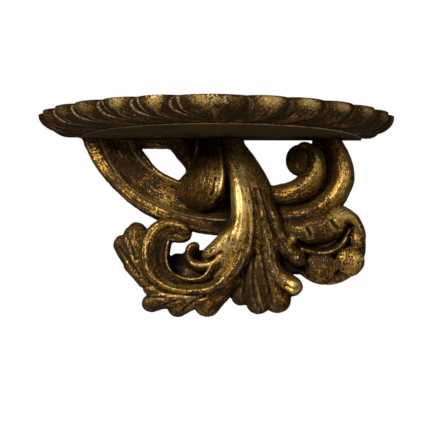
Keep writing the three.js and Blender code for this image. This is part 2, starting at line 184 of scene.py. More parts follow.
@dataclass(frozen=True)
class Stroke:
    """One stroke of the carving, in millimetres. Its line has stations of x, z and half width, its fronts are
    spread evenly along it, and its ripples are the number of tool marks across and their height."""

    name: str
    section: Section
    front: tuple[float, ...]
    line: tuple[Triple, ...]
    back: float = 0.0
    round_start: bool = False
    round_end: bool = False
    turns_into: Section | None = None
    ripples: tuple[float, float] = (0.0, 0.0)
    across: int = 41
    spacing: float = 1.6

    def surface(self) -> Surface:
        """Carries the section along the smooth line: each ring stands square to the line, and its face is the
        section's height times the depth there; a rounded end narrows and sinks as a quarter circle does.

        Returns:
            The stroke's closed surface.
        """
        line = np.array(self.line, float)
        knots = np.linspace(0, len(line) - 1, LENGTH_READINGS)
        steps = np.diff(smooth_curve(line, knots)[:, :2], axis=0)
        run = np.concatenate([[0], np.cumsum(np.hypot(*steps.T))])
        distance = self.ring_places(run[-1])
        at = np.interp(distance, run, knots)
        centre = smooth_curve(line, at)
        after = smooth_curve(line, np.minimum(at + HEADING_STEP, knots[-1]))
        before = smooth_curve(line, np.maximum(at - HEADING_STEP, 0))
        ahead = (after - before)[:, :2]
        tangent = ahead / np.linalg.norm(ahead, axis=1, keepdims=True)
        fronts = np.array(self.front, float)[:, None]
        full = smooth_curve(fronts, at / (len(line) - 1) * (len(fronts) - 1))[:, 0]
        share = self.end_share(distance, run[-1])
        half = centre[:, 2] * np.maximum(share, TIP_WIDTH)
        crown = self.back + (full - self.back) * (TIP_DEPTH + (1 - TIP_DEPTH) * share)
        place = np.sin(np.linspace(np.pi / 2, -np.pi / 2, self.across))
        deep = self.back + (crown - self.back)[:, None] * self.face(place, distance / run[-1])
        deep = deep + self.tool_marks(place, distance, share)
        place = np.concatenate([place, [-1.0, 1.0]])
        deep = np.concatenate([deep, np.full((len(deep), 2), self.back)], axis=1)
        x = centre[:, :1] - tangent[:, 1:] * half[:, None] * place
        z = centre[:, 1:2] + tangent[:, :1] * half[:, None] * place
        flow = np.stack([np.tile(distance[:, None], place.shape), centre[:, 2:] * place], -1)
        return closed_loft(np.stack([x, -deep, z], -1), flow)

    def ring_places(self, length: float) -> Array:
        """Places the rings: evenly, and closer round a rounded end, as even steps of a quarter circle.

        Args:
            length: the line's length.

        Returns:
            The distances of the rings along the line.
        """
        places = np.linspace(0, length, max(3, int(length / self.spacing)))
        turn = 1 - np.cos(np.linspace(0, np.pi / 2, TIP_RINGS)[1:])
        if self.round_start:
            radius = self.line[0][2]
            places = np.concatenate([[0], radius * turn, places[places > radius * TIP_CLEARANCE]])
        if self.round_end:
            radius = self.line[-1][2]
            rest = places[places < length - radius * TIP_CLEARANCE]
            places = np.concatenate([rest, (length - radius * turn)[::-1], [length]])
        return places

    def end_share(self, distance: Array, length: float) -> Array:
        """Share of the width that each ring keeps: 1, or less near a rounded end.

        Args:
            distance: distances of the rings along the line.
            length: the line's length.

        Returns:
            The shares.
        """
        share = np.ones_like(distance)
        if self.round_start:
            share = np.minimum(share, quarter_round(distance / self.line[0][2]))
        if self.round_end:
            share = np.minimum(share, quarter_round((length - distance) / self.line[-1][2]))
        return share

    def face(self, place: Array, along: Array) -> Array:
        """Height of the face: the section, or a blend from the first section to the second along the stroke.

        Args:
            place: places across the stroke.
            along: share of the way along for each ring.

        Returns:
            The share of the depth for each ring and place.
        """
        height = np.tile(self.section.height(place), (len(along), 1))
        if self.turns_into is None:
            return height
        change = smoothstep(CHANGE_START, CHANGE_END, along)[:, None]
        return height * (1 - change) + self.turns_into.height(place)[None] * change

    def tool_marks(self, place: Array, distance: Array, share: Array) -> Array:
        """Shallow furrows along the face: two cosines across it, whose phase wanders as a slow sine along it.

        Args:
            place: places across the stroke.
            distance: distances of the rings along the line.
            share: share of the width that each ring keeps.

        Returns:
            How far the face stands out for each ring and place.
        """
        count, rise = self.ripples
        drift = WANDER * np.sin(distance / WANDER_LENGTH + WANDER_PHASE)[:, None]
        first = np.cos(np.pi * count * place[None] + drift)
        second = 0.5 * np.cos(np.pi * count * SECOND_MARKS * place[None] - drift)
        return rise * (share * smoothstep(0, MARKS_SWELL, distance))[:, None] * (first + second)


FINGER_STATIONS = 5


def finger(name: str, root: tuple, tip: tuple, bow: float, back: float) -> Stroke:
    """A leaf finger: a short blade along a bowed line that swells towards its rounded tip.

    Args:
        name: the finger's name.
        root: x, z, half width and front at its root.
        tip: the same at its tip.
        bow: how far the line's middle stands to its left.
        back: the back's distance from the wall.

    Returns:
        The stroke.
    """
    along = np.linspace(0, 1, FINGER_STATIONS)[:, None]
    a, b = np.array(root[:2], float), np.array(tip[:2], float)
    side = np.array([-(b - a)[1], (b - a)[0]]) / np.linalg.norm(b - a)
    line = a + (b - a) * along + side * bow * 4 * along * (1 - along)
    half = root[2] + (tip[2] - root[2]) * np.sin(along * np.pi / 2)
    stations = tuple(map(tuple, np.hstack([line, half])))
    return Stroke(name, Section.BLADE, (root[3], tip[3]), stations, back, round_end=True)


@dataclass(frozen=True)
class Boss:
    """A low round dome on straight sides, in millimetres."""

    name: str
    at: tuple[float, float]
    radii: tuple[float, float]
    front: float
    back: float = 0.0
    edge: float = 0.55
    crown_turn: float = 0.03
    rings: int = 18
    sides: int = 64

    def surface(self) -> Surface:
        """Turns a quarter-circle profile about the boss's middle and stretches it to its two radii.

        Returns:
            The boss's closed surface.
        """
        turn = np.linspace(self.crown_turn, np.pi / 2, self.rings)[:, None]
        round_about = np.linspace(0, 2 * np.pi, self.sides, endpoint=False)[None]
        deep = self.back + (self.front - self.back) * (self.edge + (1 - self.edge) * np.cos(turn))
        reach = np.vstack([np.sin(turn), [[1.0]]])
        deep = np.vstack([deep, [[self.back]]])
        x = self.at[0] + self.radii[0] * reach * np.cos(round_about)
        z = self.at[1] + self.radii[1] * reach * np.sin(round_about)
        flow = np.stack([z - self.at[1], x - self.at[0]], -1)
        return closed_loft(np.stack([x, -deep + 0 * round_about, z], -1), flow)


@dataclass(frozen=True)
class Cut:
    """A carved line on the face, in millimetres: a groove, or a raised fillet where the depth is below 0. How
    pale it is comes last: rubbed leaf along the line, with a painted highlight."""

    name: str
    line: tuple[tuple[float, float], ...]
    depth: float
    width: float
    rub_and_highlight: float = 0.0


@dataclass(frozen=True)
class Patch:
    """A soft round patch of the carving where the leaf is more worn and darker, or kept bright if the amount
    is below 0; above 2.4 it turns near-black. Some patches are painted shadow and painted shade where the
    carving lies in shade, some are painted highlights where it catches the light, and the rest darken or
    brighten the leaf's tone.
    """

    name: str
    at: tuple[float, float]
    reach: tuple[float, float]
    amount: float


STROKES: tuple[Stroke, ...] = (
    Stroke("left_scroll", Section.COVE, (18, 22, 29, 31, 28, 24), (
        (-114, 8, 24), (-106, -15, 24), (-92, -36, 23.5), (-68, -61, 22), (-40, -75, 22), (-7, -84, 21.5),
        (25, -87, 20), (53, -86, 13)), across=121, ripples=(9, 0.12)),
    Stroke("eye_rail", Section.FLAT, (13, 16), ((-98, -5, 13), (-60, -4, 15.5), (-18, -5, 16))),
    Stroke("eye_ground", Section.FLAT, (12, 14, 16), ((-30, 8, 10), (-25, -20, 9), (-19, -46, 9))),
    Stroke("eye_lobe", Section.ROUND, (16, 22, 18), (
        (-54, 8, 10), (-41, -9, 11), (-29, -25, 10), (-19, -43, 6.5))),
    Stroke("eye_fold", Section.ROUND, (22, 30, 22), (
        (-19, 2, 3.2), (-18, -22, 3.6), (-22, -38, 3)), round_end=True),
    Stroke("boss", Section.DOME, (17, 26, 38, 45, 44, 34), (
        (-6, 8, 10), (-6, -16, 11.5), (-7, -36, 15.5), (-10, -50, 19.5), (-14, -65, 25), (-16, -84, 19)),
        round_end=True, across=81),
    Stroke("boss_rim", Section.ROUND, (16, 34, 43, 44, 38), (
        (2, 8, 4.2), (4.5, -18, 4.2), (7.5, -38, 4.4), (8.5, -54, 4.6), (5, -68, 4.4), (-4, -79, 4)), back=2,
        round_end=True),
    Stroke("stalk_ground", Section.FLAT, (12, 14, 14), ((10, 2, 12), (12, -40, 12), (18, -90, 14)), back=2),
    Stroke("main_stalk", Section.STALK, (20, 42, 58, 60, 58, 54, 49, 45, 46, 50), (
        (11.5, 10, 8), (13.5, -15, 8), (18.3, -32, 8.3), (23.2, -50, 9.2), (26.4, -65, 10.4),
        (28.5, -82, 11.5), (28.5, -100, 13), (22.5, -121, 16.5), (11, -142, 14), (-2, -155, 9.8),
        (-16, -158.8, 8.2), (-33, -157.5, 9), (-49, -149.5, 11.8), (-57.5, -136, 14), (-58, -121, 14.5),
        (-53.5, -109, 13.4), (-45, -103, 11.5), (-35, -104.5, 10.6), (-23, -108, 8.5)), back=8,
        round_end=True, turns_into=Section.TROUGH, across=121, ripples=(5, 0.18)),
    Stroke("leaf_hollow", Section.FLAT, (24, 20), (
        (16, -138, 16), (-6, -138, 16), (-24, -138, 16), (-36, -134, 12.5), (-42, -127, 8)), back=8,
        round_end=True),
    Stroke("hook_rim", Section.ROUND, (44, 50, 52, 50, 48, 45), (
        (24, -114, 5), (15, -127, 5.5), (4, -134.5, 5.5), (-6, -138, 5.2), (-15, -138, 5), (-21.5, -134, 4.8),
        (-24, -127, 4.8), (-21.5, -119.5, 4.4), (-14.5, -117.8, 3.6)), back=8, round_end=True),
    Stroke("hook_body", Section.ROUND, (56, 56, 53, 50), (
        (28, -92, 12), (20, -107, 12), (10, -118.5, 11.5), (0, -125.5, 10), (-11, -129, 7.5)), back=8,
        round_end=True, ripples=(3, 0.25)),
    Stroke("right_half_leaf", Section.SLOPE, (20, 34, 49, 52, 50, 46), (
        (21, 10, 6), (23, -16, 6.5), (32, -33, 8.5), (41, -54, 11.5), (47, -76, 14.5), (51, -97, 17),
        (54, -116, 17), (56, -132, 14)), back=2, round_end=True, across=121, ripples=(3, 0.25)),
    Stroke("right_curl", Section.ROUND, (36, 43, 44, 47), (
        (44, -50, 4), (53, -74, 6.5), (59, -92, 8), (65, -108, 8.5), (73, -121, 8.5), (83, -130, 7.5),
        (90, -134, 6.5)), back=6, round_end=True, ripples=(2, 0.3)),
    Stroke("volute_ground", Section.FLAT, (16, 20), (
        (109, 5, 14), (112, -41, 14), (104, -61, 15), (83, -76, 13), (47, -81, 14))),
    Stroke("volute_outer", Section.ROUND, (26, 31, 34, 32, 28), (
        (43, -91, 11), (75, -89, 11), (100, -83, 11.5), (117, -70, 11.5), (126.5, -53, 11),
        (126.5, -38, 10.5), (121, -22, 9), (110, -2, 8)), ripples=(2, 0.2)),
    Stroke("volute_inner", Section.ROUND, (28, 31, 37, 38, 36, 33), (
        (35, -68, 11), (57, -68.5, 11), (76, -65.5, 12), (91, -57, 12.5), (99, -46, 11), (100, -36, 10),
        (97, -26.5, 9), (90, -20, 6), (82, -20, 4)), round_end=True, ripples=(2, 0.2)),
    Stroke("pod_ground", Section.FLAT, (17, 20), ((54, -118, 16), (72, -126, 17), (92, -125, 20))),
    Stroke("pod_roll", Section.ROUND, (30, 36, 39, 38, 30), (
        (43, -100, 13), (65, -103, 14), (85, -104, 15), (102, -101.5, 16.5), (117, -95, 15.5),
        (127, -87.5, 12.5), (135, -82, 9.5)), round_end=True, ripples=(2, 0.15)),
    Stroke("pod_ridge", Section.ROUND, (28, 33, 34, 32, 28), (
        (74, -114, 3.5), (88, -121.5, 4.2), (105, -125, 4.2), (119, -121.5, 4.2), (128.5, -112, 3.6),
        (134, -99, 3)), round_start=True, round_end=True),
    Stroke("pod_brow", Section.ROUND, (33, 32, 29, 27), (
        (120, -84, 9), (134, -90, 8), (142.5, -102, 6.2), (145, -116, 4)), round_end=True),
    Stroke("fan_blade", Section.BLADE, (32, 44, 45, 40), (
        (42, -92, 12), (45, -122, 18), (46, -148, 24), (47, -177, 26)), back=9, round_end=True),
    Stroke("left_leaflet", Section.BLADE, (36, 39, 36), (
        (-56, -160, 6), (-67, -149, 9), (-74, -134, 11.5), (-78, -116, 12), (-79, -98, 10)), back=8,
        round_end=True),
    Stroke("low_leaflet", Section.BLADE, (44, 44, 40), (
        (22, -148, 10), (2, -163, 12), (-22, -169.5, 10.5), (-44, -170.5, 9.5), (-66, -170, 9)), back=10,
        round_end=True),
    finger("fan_1", (34, -105, 8, 40), (24, -176, 10, 38), 4, 9),
    finger("fan_2", (40, -105, 9, 40), (43.5, -184, 12.5, 40), 2, 9),
    finger("fan_3", (46, -105, 9, 38), (69, -181.5, 13, 41), -5, 9),
    finger("fan_4", (50, -92, 7, 38), (86, -162, 9.5, 52), -15, 9),
    finger("leaflet_left_1", (-70, -128, 8, 37), (-77.5, -95.5, 10, 36), 1, 8),
    finger("leaflet_left_2", (-76, -144, 8, 37), (-94.5, -109, 9.5, 35), 0, 8),
    finger("leaflet_left_3", (-66, -156, 7, 38), (-87, -130, 9.5, 35), -1, 8),
    finger("leaflet_low_1", (-25, -162, 5, 42), (-69, -161, 5.5, 40), -1, 10),
    finger("leaflet_low_2", (-12, -165, 8, 41), (-69, -178, 8.5, 39), -3, 10),
    finger("leaflet_low_3", (4, -163, 9, 41), (-43, -183.5, 10, 39), -3, 10),
    finger("leaflet_low_4", (24, -146, 12, 44), (-13, -185.5, 12.5, 41), -3, 10),
)

BOSSES: tuple[Boss, ...] = (
    Boss("volute_eye", (84, -32), (13.5, 14.5), 35, edge=0.6),
    Boss("curl_tip", (81.5, -130.5), (7.5, 7.5), 50, 12),
    Boss("pod_bed", (111.5, -117), (38, 38), 24, edge=0.78),
    Boss("pod_bead_1", (105, -138.5), (15.5, 14.5), 33, edge=0.85),
    Boss("pod_bead_2", (133.5, -132.5), (14, 13.5), 33, edge=0.85),
    Boss("pod_bead_3", (141, -111), (7, 9.5), 31, edge=0.8),
    Boss("pod_seed", (77.5, -112), (4.2, 4.8), 50),
)

CUTS: tuple[Cut, ...] = (
    Cut("scroll_fillet", (
        (-114, -15), (-105, -34), (-95, -48), (-83, -61), (-68, -71), (-48, -81), (-23, -89), (1, -92),
        (11, -92)), -0.4, 0.9, 0.9),
    Cut("scroll_rim", ((-86, -14), (-79, -28), (-69, -39), (-59, -46), (-49, -51), (-42, -54)),
        -0.4, 0.9, 0.7),
    Cut("boss_slit", ((3, -53), (2.5, -58), (1, -64), (-2, -70)), 4, 1.5),
    Cut("leaf_arris", (
        (-34, -115), (-40, -120), (-44, -127), (-44, -136), (-39, -146), (-32, -150), (-20, -152),
        (-9, -151), (3, -147), (9, -142)), -0.3, 0.8, 0.9),
    Cut("leaf_flute_1", (
        (-26, -105), (-38, -106.5), (-49, -113), (-53, -125), (-52, -138), (-44, -150), (-31, -155),
        (-14, -155)), 0.7, 1.1),
    Cut("leaf_flute_2", (
        (-28, -101), (-42, -102), (-54, -109), (-58.5, -122), (-57.5, -138), (-49, -152), (-34, -159),
        (-16, -159.5)), 0.6, 1.1),
    Cut("leaf_flute_3", ((-30, -97.5), (-44, -97.5), (-57, -103), (-64, -116)), 0.6, 1.1),
    Cut("hook_crescent", (
        (-13, -118.5), (-16, -122), (-17, -127), (-14, -132), (-8, -134.5), (0, -131.5), (9, -126)),
        2.6, 1.5),
    Cut("hook_arris", ((-15, -118), (-18.3, -121.5), (-19.4, -127.5), (-16, -134), (-9, -137), (0, -134.5)),
        -0.3, 0.8, 0.9),
    Cut("low_arris", ((-60, -162), (-52, -164), (-46, -166), (-31, -168), (-17, -169)), -0.6, 1.0, 0.5),
    Cut("low_notch_1", ((-52, -182), (-44, -176), (-32, -171.5)), 2.2, 1.7),
    Cut("low_notch_2", ((-27, -181), (-19, -174), (-7, -168)), 2.2, 1.7),
    Cut("low_notch_3", ((-68, -168), (-58, -168.5), (-46, -169)), 1.8, 1.4),
    Cut("left_notch", ((-89, -103), (-81, -118), (-75, -132)), 2.0, 1.6),
    Cut("left_notch_2", ((-92, -121), (-82, -134), (-73, -146)), 1.8, 1.6),
    Cut("stalk_flute_2", ((22, -56), (26.5, -72), (28, -90), (24, -108), (14, -124)), 0.35, 0.9),
    Cut("stalk_flute_3", ((30, -66), (34, -84), (34.5, -102), (29, -122), (19, -140), (5, -153)), 0.6, 1.0),
    Cut("stalk_crest", ((33, -78), (37, -92), (38, -108), (34, -126), (25, -144), (12, -158)),
        -0.3, 0.9, 0.5),
    Cut("fan_arris", ((53, -114), (55, -121), (56, -131), (59, -140), (62, -148), (68, -157)),
        -0.6, 0.8, 0.6),
    Cut("fan_crescent", ((70, -158), (75, -161), (80, -161.5), (85, -159)), 4, 1.8),
    Cut("fan_vein_1", ((41, -152), (44, -162), (46, -171), (50, -181)), -0.5, 0.7, 0.5),
    Cut("fan_furrow_1", ((34, -128), (31, -150), (30, -170)), 1.8, 1.4),
    Cut("fan_furrow_2", ((41, -124), (39, -145), (40, -163), (44, -178)), 1.8, 1.4),
    Cut("fan_furrow_3", ((48, -120), (51, -143), (55, -160), (57, -178)), 2.4, 1.7),
    Cut("fan_furrow_4", ((57, -128), (62, -148), (70, -165), (78, -176)), 1.8, 1.4),
    Cut("leaf_vein_1", ((41, -64), (45, -82), (48, -100), (49, -120)), 1.4, 1.5),
    Cut("leaf_vein_2", ((46, -64), (51, -80), (55, -95), (60, -109), (68, -122)), 1.6, 1.3),
    Cut("leaf_arris_2", ((44, -65), (49, -79), (53, -94), (57, -108)), -0.4, 0.8, 0.3),
    Cut("curl_spiral", ((77, -127), (81, -125.5), (85, -128), (84.5, -132.5), (80.5, -134)), 1.2, 1.0),
    Cut("curl_rim", ((85, -123.5), (88.5, -126.5), (90, -131), (88, -136)), -0.4, 0.8, 0.7),
    Cut("pod_slit_1", ((91.5, -101), (93.5, -105), (94.5, -108.5)), 4, 1.5),
    Cut("pod_slit_2", ((115, -94), (118.5, -98.5), (122, -101.5)), 4.5, 1.6),
    Cut("pod_slit_1_edge", ((89, -102), (91.5, -107)), -0.15, 0.8, 0.3),
    Cut("pod_slit_2_edge", ((112.5, -95), (116, -100.5)), -0.15, 0.8, 0.4),
    Cut("pod_groove", (
        (82, -113), (91, -118), (101, -120.5), (111, -120), (119.5, -115.5), (126.5, -107.5), (130.5, -98)),
        3.5, 1.4),
    Cut("pod_crease", ((130, -96), (138, -100.5), (147, -106)), 3, 1.4),
    Cut("pod_recess", ((133, -104), (133, -112), (130, -118)), 3, 2.2),
    Cut("bead_arris", ((117.5, -126), (120, -138), (121.5, -150)), 0.6, 0.9, 0.5),
    Cut("band_groove", ((104, -83), (88, -90), (66, -94), (50, -95)), 1.0, 3.0),
)

# Painted light among the patches: the near-black ones in the gaps beside the boss, under the band and in the
# leaf's hollow are painted shadow; those over the stalk's top and the volute's top, under the shelf, are
# painted shadow, and the one over the leaf's right half, turned from the light, is worn leaf and painted
# shade; the bright ones on the stalk and its lower sweep, the boss's rim and face, the fan's tip, the volute's
# bands, the roll and the bead are painted highlights.
PATCHES: tuple[Patch, ...] = (
    Patch("stalk", (28, -80), (14, 44), -1.2),
    Patch("stalk_sweep", (8, -120), (24, 18), -0.7),
    Patch("boss_rim", (8, -56), (5, 12), -1.6),
    Patch("boss_shadow", (13.8, -68), (2.2, 18), 4.0),
    Patch("band_shadow", (6, -97), (13, 6), 4.0),
    Patch("stalk_edge", (37, -95), (5, 34), 0.6),
    Patch("stalk_top", (0, -16), (24, 20), 0.9),
    Patch("right_half_worn_and_shade", (50, -84), (14, 46), 0.6),
    Patch("fan", (40, -155), (30, 36), 1.5),
    Patch("fan_tip_highlight", (80, -157), (9, 8), -1.3),
    Patch("low_lobes", (-40, -179), (46, 12), 1.1),
    Patch("low_bend", (8, -160), (20, 12), -0.2),
    Patch("left_lobes", (-90, -124), (16, 34), 1.1),
    Patch("leaf_ground_shadow", (-33, -132), (8, 9), 5.0),
    Patch("leaf_cove", (-51, -130), (9, 26), 0.8),
    Patch("leaf_tip", (-38, -104), (16, 9), 0.4),
    Patch("eye_head", (-24, -26), (22, 26), 1.1),
    Patch("boss_face_highlight", (-4, -46), (9, 8), -0.3),
    Patch("boss_foot", (-16, -74), (20, 16), 0.9),
    Patch("band", (-90, -46), (36, 40), 0.8),
    Patch("band_end", (-30, -88), (44, 14), 0.9),
    Patch("knob", (82, -32), (13, 15), 0.7),
    Patch("band_light", (129, -46), (7, 18), -0.6),
    Patch("inner_light", (101, -40), (5, 14), -0.6),
    Patch("volute_top_shadow", (112, -12), (26, 12), 0.8),
    Patch("roll_light", (126, -86), (14, 6), -1.0),
    Patch("roll", (92, -104), (34, 12), 0.9),
    Patch("pod", (108, -134), (36, 20), 0.6),
    Patch("seed", (77.5, -112), (3.5, 4), -3.0),
    Patch("bead_light", (138, -130), (7, 8), -0.7),
    Patch("band_foot", (72, -78), (30, 14), 0.9),
)


class Library:
    """Small helpers that read, smooth and write meshes."""

    @staticmethod
    def add(name: str, data: bpy.types.ID) -> bpy.types.Object:
        """Puts a new object into the scene.

        Args:
            name: its name.
            data: its mesh, light or camera.

        Returns:
            The object.
        """
        thing = bpy.data.objects.new(name, data)
        bpy.context.scene.collection.objects.link(thing)
        return thing

    @staticmethod
    def mesh_object(name: str, surface: Surface) -> bpy.types.Object:
        """Puts a surface into a new object, scaled from millimetres to metres.

        Args:
            name: the object's name.
            surface: points, faces, flow and marks.

        Returns:
            The object, linked to the scene.
        """
        mesh = bpy.data.meshes.new(name)
        mesh.from_pydata((surface.points * MM).tolist(), [], surface.faces)
        flow = mesh.color_attributes.new("flow", "FLOAT_COLOR", "POINT")
        rgba = np.zeros((len(surface.points), 4), np.float32)
        rgba[:, :2] = surface.flow * MM
        if surface.marks is not None:
            rgba[:, 2:] = surface.marks
        flow.data.foreach_set("color", rgba.ravel())
        return Library.add(name, mesh)

    @staticmethod
    def vectors(members: bpy.types.bpy_prop_collection, name: str) -> Array:
        """Reads one vector from every member of a mesh.

        Args:
            members: the mesh's points or its point normals.
            name: the vector's name.

        Returns:
            The vectors, one row each.
        """
        flat = np.empty(len(members) * 3, np.float32)
        members.foreach_get(name, flat)
        return flat.reshape(-1, 3).astype(float)

    @staticmethod
    def move(mesh: bpy.types.Mesh, points: Array) -> None:
        """Writes new places for all the mesh's points."""
        mesh.vertices.foreach_set("co", points.astype(np.float32).ravel())
        mesh.update()

    @staticmethod
    def store(mesh: bpy.types.Mesh, name: str, values: Array) -> None:
        """Writes one number for each point as a named attribute."""
        attribute = mesh.attributes.new(name, "FLOAT", "POINT")
        attribute.data.foreach_set("value", values.astype(np.float32))

    @staticmethod
    def relax(points: Array, links: Links, times: int, strength: float = 0.5) -> Array:
        """Moves each point part of the way to its neighbours' mean, several times.

        Args:
            points: values to smooth, one row for each point.
            links: both ends of every edge and the edge counts.
            times: number of passes.
            strength: share of the way moved in each pass.

        Returns:
            The smoothed values.
        """
        a, b, count = links
        size = len(points)
        for _ in range(times):
            mean = np.stack([
                np.bincount(a, points[b, k], size) + np.bincount(b, points[a, k], size)
                for k in range(points.shape[1])
            ], -1) / count[:, None]
            points = points + (mean - points) * strength
        return points

    @staticmethod
    def bake(thing: bpy.types.Object) -> None:
        """Makes the object's modifiers part of its mesh.

        Args:
            thing: the object.
        """
        graph = bpy.context.evaluated_depsgraph_get()
        mesh = bpy.data.meshes.new_from_object(thing.evaluated_get(graph))
        thing.modifiers.clear()
        old = thing.data
        thing.data = mesh
        bpy.data.meshes.remove(old)


# Edge wear: passes of smoothing, and the rise in millimetres over which an edge goes from sound to rubbed.
EDGE_PASSES = 4
EDGE_RISE = 0.2
EDGE_START = 0.5


@dataclass(frozen=True)
class Skin:
    """A mesh's points in metres, their normals, and its edges: both ends, and the count at each point."""

    points: Array
    normals: Array
    links: Links

    @classmethod
    def of(cls, mesh: bpy.types.Mesh) -> "Skin":
        """Reads a mesh.

        Args:
            mesh: the mesh.

        Returns:
            Its skin.
        """
        ends = np.empty(len(mesh.edges) * 2, np.int32)
        mesh.edges.foreach_get("vertices", ends)
        a, b = ends.reshape(-1, 2).T
        count = np.bincount(np.concatenate([a, b]), minlength=len(mesh.vertices))
        points = Library.vectors(mesh.vertices, "co")
        return cls(points, Library.vectors(mesh.vertex_normals, "vector"), (a, b, np.maximum(count, 1)))

    def below(self, smooth: Array) -> Array:
        """How far each point lies below its place on a smoothed skin, in millimetres."""
        return ((smooth - self.points) * self.normals).sum(1) / MM

    def sinking(self, near: int, far: int) -> tuple[Array, Array]:
        """How far each point sinks below its smoothed surroundings.

        Args:
            near: passes of smoothing for the short reach.
            far: further passes for the long reach.

        Returns:
            Millimetres over the short and the long reach.
        """
        close = Library.relax(self.points, self.links, near)
        wide = Library.relax(close, self.links, far)
        return self.below(close), self.below(wide)

    def sharpness(self) -> Array:
        """How sharply each point stands out of its close surroundings, from 0 to 1."""
        close = Library.relax(self.points, self.links, EDGE_PASSES)
        return np.clip(-self.below(close) / EDGE_RISE - EDGE_START, 0, 1)


@dataclass(frozen=True)
class Pattern:
    """A fractal noise: its scale, its number of finer layers, and each one's strength beside the last."""

    scale: float
    detail: float
    rough: float


CLOUD = Pattern(26.0, 4.0, 0.6)
BLOTCH = Pattern(95.0, 5.0, 0.65)
SPECKLE = Pattern(520.0, 3.0, 0.6)
DUST = Pattern(1400.0, 2.0, 0.5)
STREAK = Pattern(1.0, 3.0, 0.55)
FIBRE = Pattern(1.0, 4.0, 0.6)

# Stretch of the streaks along and across the carving's flow, and of the wood's fibres along X, Y and Z.
STREAK_STRETCH = (60.0, 900.0, 1.0)
FIBRE_STRETCH = (14.0, 260.0, 260.0)

# Numbers of the colour sockets of a node that mixes.
MIX_FIRST, MIX_SECOND, MIX_RESULT = 6, 7, 2


class Recipe:
    """A material's nodes, with a short name for each step by which a finish is mixed."""

    def __init__(self, name: str) -> None:
        """Starts an empty material.

        Args:
            name: its name.
        """
        self.material = bpy.data.materials.new(name)
        self.material.use_nodes = True
        self.tree = self.material.node_tree
        self.tree.nodes.clear()
        self.place = self.node("ShaderNodeTexCoord").outputs["Object"]

    def node(self, kind: str, inputs: Inputs | None = None, **settings: str | bool) -> bpy.types.Node:
        """Adds a node.

        Args:
            kind: its type.
            inputs: a socket to link, or a plain value, for each input by name or number.
            settings: its own settings by name.

        Returns:
            The node.
        """
        made = self.tree.nodes.new(kind)
        for name, setting in settings.items():
            setattr(made, name, setting)
        for key, value in (inputs or {}).items():
            socket = made.inputs[key]
            if isinstance(value, Socket):
                self.tree.links.new(value, socket)
            elif isinstance(value, tuple):
                socket.default_value = (*value, 1.0)[: len(socket.default_value)]
            else:
                socket.default_value = value
        return made

    def attribute(self, name: str) -> Socket:
        """One of the piece's own numbers."""
        return self.node("ShaderNodeAttribute", attribute_name=name).outputs["Fac"]

    def stretched(self, place: Socket, factors: Triple) -> Socket:
        """A place stretched by a factor along each axis."""
        return self.node("ShaderNodeMapping", {"Vector": place, "Scale": factors}).outputs["Vector"]

    def noise(self, pattern: Pattern, place: Socket | None = None) -> Socket:
        """Fractal noise.

        Args:
            pattern: its scale and layers.
            place: where it is read, or else the object's own place.

        Returns:
            The noise, from 0 to 1.
        """
        inputs = {"Vector": place or self.place, "Scale": pattern.scale}
        inputs |= {"Detail": pattern.detail, "Roughness": pattern.rough}
        return self.node("ShaderNodeTexNoise", inputs).outputs["Fac"]

    def ramp(self, value: Value, low: float, high: float, start: float = 0.0, end: float = 1.0) -> Socket:
        """Spreads a range smoothly between two numbers.

        Args:
            value: the value.
            low: where the ramp starts.
            high: where it ends.
            start: its first number.
            end: its last number.

        Returns:
            The number.
        """
        inputs = {"Value": value, "From Min": low, "From Max": high, "To Min": start, "To Max": end}
        return self.node("ShaderNodeMapRange", inputs, interpolation_type="SMOOTHSTEP").outputs["Result"]

    def step(self, kind: str, a: Value, b: Value, clamp: bool = True) -> Socket:
        """One step of arithmetic, kept between 0 and 1 unless told otherwise."""
        return self.node("ShaderNodeMath", {0: a, 1: b}, operation=kind, use_clamp=clamp).outputs[0]

    def times(self, a: Value, b: Value) -> Socket:
        """One share times another."""
        return self.step("MULTIPLY", a, b)

    def total(self, start: Value, *parts: tuple[float, Socket]) -> Socket:
        """Adds values to a start, each times its weight, without limits.

        Args:
            start: what the rest is added to.
            parts: weights and values.

        Returns:
            The sum.
        """
        for weight, value in parts:
            start = self.step("ADD", start, self.step("MULTIPLY", value, weight, False), False)
        return start

    def mix(self, share: Value, first: Value, second: Value) -> Socket:
        """Mixes two colours by the second one's share."""
        inputs = {"Factor": share, MIX_FIRST: first, MIX_SECOND: second}
        return self.node("ShaderNodeMix", inputs, data_type="RGBA").outputs[MIX_RESULT]


